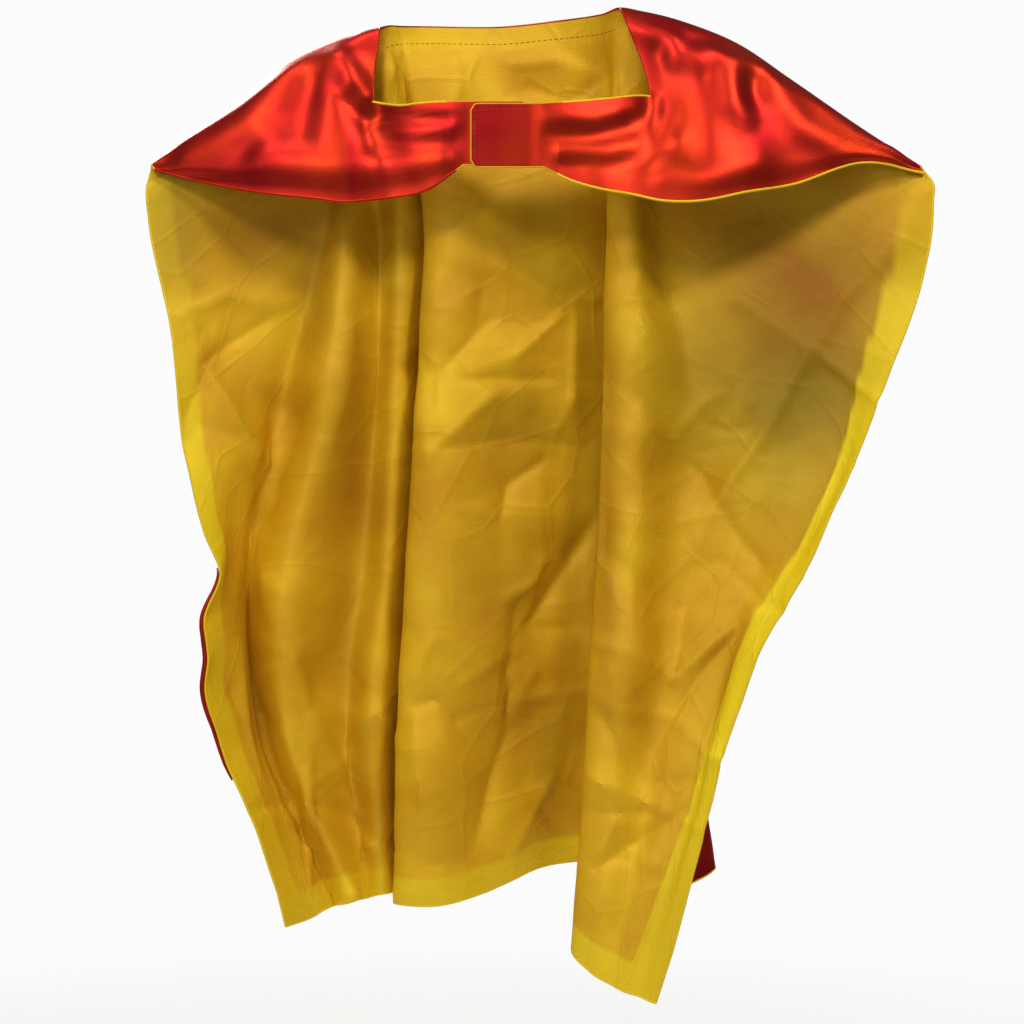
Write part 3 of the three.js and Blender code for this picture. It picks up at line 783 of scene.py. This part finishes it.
# ---------------------------------------------------------------- materials
class Nodes:
    """A material's node tree with short ways to add to it."""

    def __init__(self, name):
        self.material = bpy.data.materials.new(name)
        self.material.use_nodes = True
        self.tree = self.material.node_tree
        self.surface = self.tree.nodes["Principled BSDF"]

    def add(self, kind, **settings):
        node = self.tree.nodes.new(kind)
        for key, value in settings.items():
            setattr(node, key, value)
        return node

    def link(self, a, b):
        self.tree.links.new(a, b)

    def cloth_place(self):
        return self.add("ShaderNodeUVMap", uv_map="cloth").outputs[0]

    def noise(self, place, scale, detail=3, stretch=(1, 1, 1)):
        mapping = self.add("ShaderNodeMapping")
        mapping.inputs["Scale"].default_value = stretch
        self.link(place, mapping.inputs["Vector"])
        noise = self.add("ShaderNodeTexNoise")
        noise.inputs["Scale"].default_value = scale
        noise.inputs["Detail"].default_value = detail
        self.link(mapping.outputs[0], noise.inputs["Vector"])
        return noise.outputs["Fac"]

    def ribs(self, place, period, direction):
        """Threads at a period in metres."""
        wave = self.add("ShaderNodeTexWave", bands_direction=direction)
        wave.inputs["Scale"].default_value = 0.314 / period
        wave.inputs["Distortion"].default_value = 0.6
        wave.inputs["Detail Scale"].default_value = 3
        self.link(place, wave.inputs["Vector"])
        return wave.outputs["Fac"]

    def packet_creases(self, place):
        """Thin straight creases, broken up by noise, as a height."""
        cells = self.add("ShaderNodeTexVoronoi", feature="DISTANCE_TO_EDGE")
        cells.inputs["Scale"].default_value = 23
        self.link(place, cells.inputs["Vector"])
        away = self.math("MULTIPLY", cells.outputs["Distance"], 17)
        line = self.math("SUBTRACT", 1.0, self.math("MINIMUM", away, 1.0))
        broken = self.math("MULTIPLY", self.noise(place, 26, 2), 5)
        return self.math("MULTIPLY", line, broken)

    def patchy(self, factor, place, scale):
        """A factor broken up by noise, so that it has no clear outline."""
        noise = self.add("ShaderNodeMapRange")
        noise.inputs["From Min"].default_value = 0.3
        noise.inputs["From Max"].default_value = 0.65
        noise.inputs["To Min"].default_value = 0.7
        self.link(self.noise(place, scale, 4), noise.inputs["Value"])
        return self.math("MULTIPLY", factor, noise.outputs[0])

    def ramp(self, value, stops):
        ramp = self.add("ShaderNodeValToRGB")
        while len(ramp.color_ramp.elements) < len(stops):
            ramp.color_ramp.elements.new(0.5)
        for element, (at, colour) in zip(ramp.color_ramp.elements, stops):
            element.position = at
            element.color = (*colour, 1)
        self.link(value, ramp.inputs["Fac"])
        return ramp.outputs["Color"]

    def mix(self, factor, a, b, blend="MIX"):
        mix = self.add("ShaderNodeMix", data_type="RGBA", blend_type=blend)
        for value, socket in ((factor, mix.inputs[0]), (a, mix.inputs[6]), (b, mix.inputs[7])):
            if isinstance(value, bpy.types.NodeSocket):
                self.link(value, socket)
            elif isinstance(value, tuple):
                socket.default_value = (*value, 1)
            else:
                socket.default_value = value
        return mix.outputs[2]

    def math(self, operation, a, b):
        node = self.add("ShaderNodeMath", operation=operation)
        for value, socket in ((a, node.inputs[0]), (b, node.inputs[1])):
            if isinstance(value, bpy.types.NodeSocket):
                self.link(value, socket)
            else:
                socket.default_value = value
        return node.outputs[0]

    def attribute(self, name):
        return self.add("ShaderNodeAttribute", attribute_name=name).outputs["Fac"]

    def roughness(self, value, low, high):
        spread = self.add("ShaderNodeMapRange")
        spread.inputs["To Min"].default_value = low
        spread.inputs["To Max"].default_value = high
        self.link(value, spread.inputs["Value"])
        self.link(spread.outputs[0], self.surface.inputs["Roughness"])

    def bump(self, height, strength, distance):
        bump = self.add("ShaderNodeBump")
        bump.inputs["Strength"].default_value = strength
        bump.inputs["Distance"].default_value = distance
        self.link(height, bump.inputs["Height"])
        self.link(bump.outputs[0], self.surface.inputs["Normal"])

    def fix(self, **values):
        for key, value in values.items():
            self.surface.inputs[key.replace("_", " ")].default_value = value


def lining_material():
    """Thin golden polyester: cross ribs, cloudy colour, lemon where the seam allowance lies behind it and
    weaker below the flaps as painted shade, and darker spots of painted shade under the flaps and in the
    folds, which also stand for the red satin seen through it.
    """
    n = Nodes("golden_lining")
    place = n.cloth_place()
    cloudy = n.noise(place, 16, 4)
    golds = [(0.32, (0.58, 0.29, 0.006)), (0.50, (0.68, 0.38, 0.008)), (0.66, (0.76, 0.47, 0.012))]
    colour = n.ramp(cloudy, golds)
    streaks = n.noise(place, 90, 3, (1, 0.06, 1))
    colour = n.mix(n.math("MULTIPLY", streaks, 0.22), colour, (0.50, 0.25, 0.01))
    # Painted shade: darker greenish and brownish spots where the flaps' shadows fall and in the deep folds,
    # partly also the red satin seen through the thin lining.
    colour = n.mix(n.patchy(n.attribute("olive_shade"), place, 14), colour, (0.20, 0.14, 0.004))
    colour = n.mix(n.patchy(n.attribute("orange_shade"), place, 20), colour, (0.28, 0.10, 0.003))
    colour = n.mix(n.attribute("hem"), colour, (0.82, 0.62, 0.012))
    weft = n.ribs(place, 0.0012, "Y")
    warp = n.ribs(place, 0.0008, "X")
    weave = n.math("ADD", n.math("MULTIPLY", weft, 0.7), n.math("MULTIPLY", warp, 0.3))
    colour = n.mix(n.math("MULTIPLY", weave, 0.14), colour, (0.35, 0.18, 0.005))
    n.link(colour, n.surface.inputs["Base Color"])
    n.roughness(n.noise(place, 60, 2), 0.44, 0.6)
    puckers = n.noise(place, 260, 3, (1, 0.35, 1))
    fine = n.math("ADD", weave, n.math("MULTIPLY", puckers, 1.6))
    n.bump(n.math("ADD", fine, n.packet_creases(place)), 0.6, 0.00015)
    n.fix(Metallic=0.15, Specular_IOR_Level=0.2)
    return n.material


def satin_material():
    """Glossy red satin with long floats across the cloth, its red drifting from crimson to a warmer one."""
    n = Nodes("red_satin")
    place = n.cloth_place()
    cloudy = n.noise(place, 22, 3)
    colour = n.ramp(cloudy, [(0.3, (0.37, 0.010, 0.013)), (0.7, (0.50, 0.032, 0.008))])
    floats = n.ribs(place, 0.0005, "Y")
    colour = n.mix(n.math("MULTIPLY", floats, 0.12), colour, (0.36, 0.01, 0.012))
    n.link(colour, n.surface.inputs["Base Color"])
    n.roughness(n.noise(place, 140, 2, (1, 0.3, 1)), 0.36, 0.45)
    slubs = n.noise(place, 420, 2, (0.25, 1, 1))
    n.bump(n.math("ADD", n.math("MULTIPLY", floats, 0.5), slubs), 0.35, 0.00007)
    n.fix(Metallic=0.94, Specular_IOR_Level=0.08)
    return n.material


def thread_material(name, colour):
    """Twisted sewing thread."""
    n = Nodes(name)
    place = n.add("ShaderNodeTexCoord").outputs["Object"]
    twist = n.noise(place, 2600, 2)
    n.link(n.mix(twist, colour, tuple(v * 0.6 for v in colour)), n.surface.inputs["Base Color"])
    n.bump(twist, 0.5, 0.0001)
    n.fix(Roughness=0.6, Sheen_Weight=0.3)
    return n.material


def seam_material():
    """The doubled lining cloth of a turned hem."""
    n = Nodes("turned_seam")
    place = n.cloth_place()
    weft = n.ribs(place, 0.0012, "Y")
    colour = n.mix(n.noise(place, 30), (0.70, 0.52, 0.03), (0.84, 0.68, 0.05))
    n.link(n.mix(n.math("MULTIPLY", weft, 0.2), colour, (0.4, 0.25, 0.01)), n.surface.inputs["Base Color"])
    n.bump(weft, 0.4, 0.0001)
    n.fix(Roughness=0.5, Sheen_Weight=0.2)
    return n.material


def tape_material():
    """Matt red tape with a coarse woven ground."""
    n = Nodes("fastener_tape")
    place = n.add("ShaderNodeTexCoord").outputs["Object"]
    ground = n.noise(place, 900, 3)
    colour = n.mix(ground, (0.44, 0.014, 0.012), (0.24, 0.008, 0.01))
    n.link(colour, n.surface.inputs["Base Color"])
    n.bump(ground, 0.6, 0.0002)
    n.fix(Roughness=0.9, Sheen_Weight=0.4)
    return n.material


# ---------------------------------------------------------------- pieces
def run_along(grid, axis):
    """Distance of each point of a grid from its first row or column, along the cloth."""
    steps = np.linalg.norm(np.diff(grid, axis=axis), axis=2)
    start = np.zeros_like(np.take(steps, [0], axis))
    return np.concatenate([start, np.cumsum(steps, axis)], axis)


def hem_shown_with_shade(drop, left_run, right_run):
    """How strongly the turned hem shows through the lining, at a distance below z = 0.

    The left one is stronger above 300, the right one from 250 to 440, and both fade towards the shoulders,
    the left one from lower down: painted shade where the flaps' shadows fall on the lemon band."""
    strength_with_shade = 0.45 + 0.4 * (1 - smooth(300, 360, drop)) * (left_run < right_run)
    strength_with_shade += (0.2 + 0.35 * smooth(200, 250, drop) * (1 - smooth(440, 520, drop))) * (right_run < left_run)
    # Painted shade: the lemon band is weaker below the flaps, where their shadows fall.
    strength_with_shade *= np.where(left_run < right_run, smooth(150, 290, drop), smooth(90, 190, drop)) * 0.75 + 0.25
    return strength_with_shade


def hem_parts(cloth, back):
    """Every point's hem factor for the lining's colour, which carries painted shade below the flaps, and the
    quads under each turned hem by its name.
    """
    stations, across, rows = back
    grid = cloth.points[np.array(rows)]
    left_run = run_along(grid, 1)
    right_run = left_run[:, -1:] - left_run
    down = run_along(grid, 0)
    up = down[-1:] - down
    factor = np.zeros(len(cloth.points))
    edge = np.minimum(np.minimum(left_run, right_run * HEM / RIGHT_HEM), up)
    band = smooth(HEM + 0.8, HEM - 0.4, edge)
    neck = (stations > NECK_LEFT) & (stations < NECK_RIGHT)
    scallop = NECK_HEM + 3 * np.abs(np.sin(across / 11))
    band = np.maximum(band, smooth(scallop[None] + 1, scallop[None] - 1, down) * neck[None])
    strength_with_shade = hem_shown_with_shade(-grid[..., 2] / TALL, left_run, right_run)
    factor[: grid.shape[0] * grid.shape[1]] = (band * strength_with_shade).ravel()
    names = np.full(grid.shape[:2], "", dtype=object)
    names[up < HEM] = "bottom_hem"
    names[left_run < HEM] = "side_hem_left"
    names[right_run < RIGHT_HEM] = "side_hem_right"
    names[(down < NECK_HEM) & neck[None]] = "neck_hem"
    inside = names[:-1, :-1].ravel()
    flat = cloth.quads_of("back")
    return factor, {
        hem: [q for q, n in zip(flat, inside) if n == hem]
        for hem in ("bottom_hem", "side_hem_left", "side_hem_right", "neck_hem")
    }


def tint(view, spots):
    """A soft factor from round spots: (x, z, half width, half height, strength)."""
    total = np.zeros(len(view))
    for x, z, wide, tall, strength in spots:
        away = ((view[:, 0] - x) / wide) ** 2 + ((view[:, 1] - z) / tall) ** 2
        total = np.maximum(total, strength * np.exp(-away * 1.5))
    return total


# Painted shade on the lining, as (x, z, half width, half height, strength): shadows below the flaps and in
# the valleys, partly also the red satin seen through.
OLIVE_SHADE_SPOTS = [
    (15, -118, 45, 28, 0.5), (40, -150, 25, 25, 0.35), (125, -215, 60, 90, 0.7), (175, -210, 85, 110, 0.95),
    (10, -235, 40, 26, 0.3), (-205, -125, 26, 60, 0.7), (-70, -150, 14, 30, 0.35), (120, -400, 30, 60, 0.2),
]
ORANGE_SHADE_SPOTS = [
    (-150, -120, 50, 26, 0.8), (-118, -150, 14, 60, 0.6), (-95, -260, 16, 80, 0.7), (-100, -350, 18, 90, 0.5),
    (178, -150, 65, 60, 0.95), (57, -290, 9, 130, 0.6), (-10, -330, 40, 40, 0.35), (10, -430, 30, 50, 0.45),
]


def finish_piece(piece, material, body="cape", stands_for=()):
    piece.data.materials.clear()
    piece.data.materials.append(material)
    if body:
        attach(piece, body)
    if stands_for:
        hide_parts(*stands_for)
    return piece


def edge_beads(cloth, back, left, right):
    """Rolled seams that close the two cloths along every sewn edge."""
    _, _, rows = back
    points = cloth.points
    neck_row = rows[0][len(left["rows"][0]) - 1 : len(rows[0]) - len(right["rows"][0]) + 1]
    sides = {
        "left": [row[0] for row in rows],
        "right": [row[-1] for row in rows],
    }
    made = []
    for name, numbers, radius, colour in (
        ("edge_right_front", right["front"][::-1], 0.85, "gold"),
        ("edge_right_side", np.concatenate([right["side"][::-1], sides["right"]]), 0.8, "gold"),
        ("edge_bottom", rows[-1], 0.7, "gold"),
        ("edge_left_side", np.concatenate([left["side"][::-1], sides["left"]]), 0.75, "gold"),
        ("edge_left_front", left["front"][::-1], 0.8, "red"),
        ("edge_neck_back", neck_row, 0.7, "red"),
        ("edge_neck_left", left["neck"], 0.7, "red"),
        ("edge_neck_right", right["neck"], 0.7, "red"),
        ("edge_strap_top_left", left["top"], 0.8, "gold"),
        ("edge_strap_top_right", right["top"], 0.8, "gold"),
    ):
        made.append((tube(name, points[numbers], radius, hem=0.7 if colour == "gold" else 0), colour))
    return made


def satin_piping(cloth, back):
    """Outer satin that rolls into view along the lower left side, thickest in the middle of its run."""
    _, _, rows = back
    numbers = np.array([row[0] for row in rows])
    path = cloth.points[numbers]
    drop = -path[:, 2] / TALL
    chosen = (drop > PIPING_TOP) & (drop < PIPING_LOW)
    down = (drop[chosen] - PIPING_TOP) / (PIPING_LOW - PIPING_TOP)
    swell = np.sin(np.clip(down, 0, 1) * math.pi) ** 0.6
    return tube("rolled_satin_edge", path[chosen] + [-1.6, 0.8, 0], 0.4 + 1.5 * swell)


def tape_outline(low, high, corner=2.0, arc=5):
    """The outline of a rectangle with round corners, as (x, z)."""
    outline = []
    for cx, cz, start in (
        (high[0] - corner, high[2] - corner, 0), (low[0] + corner, high[2] - corner, 90),
        (low[0] + corner, low[2] + corner, 180), (high[0] - corner, low[2] + corner, 270),
    ):
        for i in range(arc + 1):
            turn = math.radians(start + 90 * i / arc)
            outline.append((cx + corner * math.cos(turn), cz + corner * math.sin(turn)))
    return outline


def tape_ground(low, high, facing, thick):
    """The tape itself: rings of points from its back to its face, and their faces."""
    outline = tape_outline(low, high)
    centre = np.mean(outline, axis=0)
    ground_y = high[1] if facing < 0 else low[1]
    rings = ((0, 0.3), (0.25, 0), (0.8, 0), (1, 0.35))
    vertices = []
    for depth, inset in rings:
        for x, z in outline:
            pull = inset / max(1e-6, math.dist((x, z), centre))
            y = ground_y + facing * thick * depth
            vertices.append((x + (centre[0] - x) * pull, y, z + (centre[1] - z) * pull))
    faces = ring_faces(0, len(rings), len(outline))
    if facing < 0:
        faces = [f[::-1] for f in faces]
    return vertices, faces


def fastener(name, kind, facing):
    """A tape with rows of hooks, or a mat of loops. facing is -1 towards the front."""
    low, high = (np.array(list(c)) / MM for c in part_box(name))
    thick = (high[1] - low[1]) * 0.42
    vertices, faces = tape_ground(low, high, facing, thick)
    chance = np.random.default_rng(21)
    top = (high[1] if facing < 0 else low[1]) + facing * thick * 0.9
    reach = (high[1] - low[1]) * 0.5
    pitch = 1.35
    hook = [(0, 0), (0, 0.5), (0.12, 0.85), (0.38, 1.0), (0.55, 0.75)]
    loop = [(-0.4, 0), (-0.3, 0.7), (0, 1.0), (0.3, 0.7), (0.4, 0)]
    route = hook if kind == "hook" else loop
    for x in np.arange(low[0] + 1.6, high[0] - 1.2, pitch):
        for z in np.arange(low[2] + 1.6, high[2] - 1.2, pitch):
            turn = 0.0 if kind == "hook" else chance.uniform(0, math.pi)
            jitter = chance.uniform(-0.2, 0.2, 2)
            first = len(vertices)
            for along, rise in route:
                px = x + jitter[0] + along * math.cos(turn)
                pz = z + jitter[1] + along * math.sin(turn)
                py = top + facing * reach * rise
                for sx, sz in ((0.12, 0), (0, 0.12), (-0.12, 0), (0, -0.12)):
                    vertices.append((px + sx, py, pz + sz))
            faces += ring_faces(first, len(route), 4)
    return new_object(name + "_tape", vertices, faces)


def tab_stitch_path(cloth, flap, offset):
    """Round a tab's free edge, a stitch's width in, on its satin face."""
    normals = cloth.normals()
    rows = flap["tab_edge"]
    clear = 8
    numbers = [*rows[1][clear:-1], *[row[-2] for row in rows[1:-1]], *rows[-2][clear:-1][::-1]]
    return cloth.points[numbers] + normals[numbers] * offset


def add_stitches(cloth, back, left, right, thread_red, thread_gold):
    normals = cloth.normals()
    _, _, rows = back
    neck = rows[8][len(left["rows"][0]) : len(rows[0]) - len(right["rows"][0])]
    path = cloth.points[neck] - normals[neck] * (OUTER + 0.08)
    piece = stitches("neck_stitches", path, length=2.2, gap=1.3, radius=0.2)
    finish_piece(piece, thread_red)
    for name, flap in (("under_tab", left), ("over_tab", right)):
        path = tab_stitch_path(cloth, flap, OUTER + 0.05)
        piece = stitches(f"{name}_stitches", path, length=2.2, gap=1.2, radius=0.18)
        finish_piece(piece, thread_red, name)
    hem_row = rows[-4]
    across = cloth.points[hem_row][:, 0]
    chosen = hem_row[(across > 0) & (across < 46) & (np.arange(len(hem_row)) < len(hem_row) * 0.62)]
    path = cloth.points[chosen] - normals[chosen] * (OUTER + 0.08)
    piece = stitches("hem_stitches", path, length=2.4, gap=1.4, radius=0.18)
    finish_piece(piece, thread_gold)


def add_tab(cloth, name, flap, satin, lining, shades):
    """A tab's two cloths and the bead on its rim, which reach across its hinge."""
    quads = cloth.quads_of(name)
    for layer, low, high, material, slot in (
        ("satin", INNER, OUTER, satin, "outer_satin"),
        ("lining", -OUTER, -INNER, lining, "lining"),
    ):
        piece = shell(f"{name}_{layer}_cloth", cloth, quads, low, high, shades)
        finish_piece(piece, material, None, [f"{name}_{layer}"])
        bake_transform(piece)
    edge = flap["tab_edge"]
    rim = [*edge[0], *[row[-1] for row in edge[1:]], *edge[-1][:-1][::-1]]
    bead = tube(f"{name}_rim", cloth.points[rim], 0.62)
    finish_piece(bead, lining, None)
    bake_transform(bead)


def build_cape():
    cloth = Cloth()
    back = add_back(cloth)
    back_count = len(cloth.points)
    left = add_flap(cloth, "left", back)
    over_from = len(cloth.points)
    right = add_flap(cloth, "right", back)
    crumple(cloth, back_count, over_from)
    hem, hem_quads = hem_parts(cloth, back)
    view = front_view(cloth.points)
    on_back = np.arange(len(cloth.points)) < back_count
    shades = {
        "hem": hem,
        # Painted shade spots on the back's lining.
        "olive_shade": tint(view, OLIVE_SHADE_SPOTS) * on_back,
        "orange_shade": tint(view, ORANGE_SHADE_SPOTS) * on_back,
    }
    lining, satin, seam = lining_material(), satin_material(), seam_material()
    red_thread = thread_material("red_thread", (0.42, 0.014, 0.014))
    gold_thread = thread_material("gold_thread", (0.75, 0.5, 0.05))
    body = cloth.quads_of("back", "left_flap", "right_flap", "left_strap", "right_strap")
    satin_cloth = shell("satin_cloth", cloth, body, INNER, OUTER, {})
    finish_piece(satin_cloth, satin, "cape", ["satin_shell"])
    lining_cloth = shell("lining_cloth", cloth, body, -OUTER, -INNER, shades)
    finish_piece(lining_cloth, lining, "cape", ["lining_panel"])
    for name, quads in hem_quads.items():
        piece = shell(name + "_strip", cloth, quads, -SEAM_HALF, SEAM_HALF, {})
        finish_piece(piece, seam, "cape", [name])
    for name, flap in (("under_tab", left), ("over_tab", right)):
        add_tab(cloth, name, flap, satin, lining, shades)
    for bead, colour in edge_beads(cloth, back, left, right):
        material, slot = (lining, "lining") if colour == "gold" else (satin, "outer_satin")
        finish_piece(bead, material)
    finish_piece(satin_piping(cloth, back), satin)
    tape = tape_material()
    finish_piece(fastener("hook_patch", "hook", 1), tape, "over_tab", ["hook_patch"])
    finish_piece(fastener("loop_patch", "loop", -1), tape, "under_tab", ["loop_patch"])
    add_stitches(cloth, back, left, right, red_thread, gold_thread)


# ---------------------------------------------------------------- stage, camera and light
def pale_floor():
    """A round pale floor below the cape, whose rim fades into the surround."""
    turns = np.linspace(0, 2 * math.pi, FLOOR_SIDES + 1)[:-1]
    vertices = [(FLOOR_REACH * math.cos(t), FLOOR_REACH * math.sin(t), FLOOR) for t in turns]
    mesh = bpy.data.meshes.new("floor")
    mesh.from_pydata(vertices, [], [list(range(len(turns)))])
    made = bpy.data.objects.new("floor", mesh)
    bpy.context.scene.collection.objects.link(made)
    n = Nodes("pale_floor")
    place = n.add("ShaderNodeTexCoord").outputs["Object"]
    n.link(n.mix(n.noise(place, 3), (0.86, 0.86, 0.86), (0.9, 0.9, 0.9)), n.surface.inputs["Base Color"])
    away = n.add("ShaderNodeVectorMath", operation="LENGTH")
    n.link(place, away.inputs[0])
    fade = n.add("ShaderNodeMapRange", interpolation_type="SMOOTHSTEP")
    fade.inputs["From Min"].default_value = math.hypot(FLOOR_REACH, FLOOR)
    fade.inputs["From Max"].default_value = math.hypot(FLOOR_REACH * 0.4, FLOOR)
    n.link(away.outputs["Value"], fade.inputs["Value"])
    n.link(fade.outputs[0], n.surface.inputs["Alpha"])
    n.fix(Roughness=0.9)
    made.data.materials.append(n.material)


def aim(thing, target):
    thing.rotation_euler = (Vector(target) - thing.location).to_track_quat("-Z", "Y").to_euler()


def area_light(name, place, target, size, power, colour):
    light = bpy.data.lights.new(name, "AREA")
    light.shape = "DISK"
    light.size = size
    light.energy = power
    light.color = colour
    made = bpy.data.objects.new(name, light)
    made.location = place
    bpy.context.scene.collection.objects.link(made)
    aim(made, target)


def surround():
    """An even pale surround behind the cape on every side, which itself lights it only dimly."""
    world = bpy.data.worlds.new("studio")
    world.use_nodes = True
    nodes, links = world.node_tree.nodes, world.node_tree.links
    dim = nodes["Background"]
    dim.inputs["Color"].default_value = (0.95, 0.97, 1.0, 1)
    dim.inputs["Strength"].default_value = AMBIENT
    pale = nodes.new("ShaderNodeBackground")
    pale.inputs["Color"].default_value = (0.97, 0.97, 0.97, 1)
    seen = nodes.new("ShaderNodeLightPath")
    either = nodes.new("ShaderNodeMixShader")
    links.new(seen.outputs["Is Camera Ray"], either.inputs[0])
    links.new(dim.outputs[0], either.inputs[1])
    links.new(pale.outputs[0], either.inputs[2])
    links.new(either.outputs[0], nodes["World Output"].inputs["Surface"])
    bpy.context.scene.world = world


def lights():
    middle = (0.0, 0.0, -0.28)
    area_light("key_right", (0.62, -0.95, 0.86), middle, 0.3, 10, WARM)
    area_light("key_left", (-0.4, -1.1, 0.6), middle, 0.3, 6, WARM)
    area_light("top", (-0.3, -0.4, 1.0), middle, 0.4, 4, (1.0, 0.97, 0.92))
    area_light("fill", (-1.1, -1.8, 0.3), middle, 1.0, 7, COOL)
    area_light("back_key", (-0.7, 1.1, 0.9), middle, 0.5, 22, (1.0, 0.97, 0.9))
    area_light("back_fill", (1.2, 1.5, 0.2), middle, 1.0, 12, COOL)
    bpy.context.scene.view_settings.view_transform = "Standard"


def camera():
    data = bpy.data.cameras.new("camera")
    data.sensor_width = SENSOR
    data.lens = SENSOR * VIEW_DISTANCE / SEEN_WIDTH
    made = bpy.data.objects.new("camera", data)
    made.location = (EYE[0] * MM, -VIEW_DISTANCE * MM, EYE[1] * MM)
    made.rotation_euler = (math.pi / 2, 0, 0)
    bpy.context.scene.collection.objects.link(made)
    bpy.context.scene.camera = made


camera()
build_cape()
pale_floor()
surround()
lights()
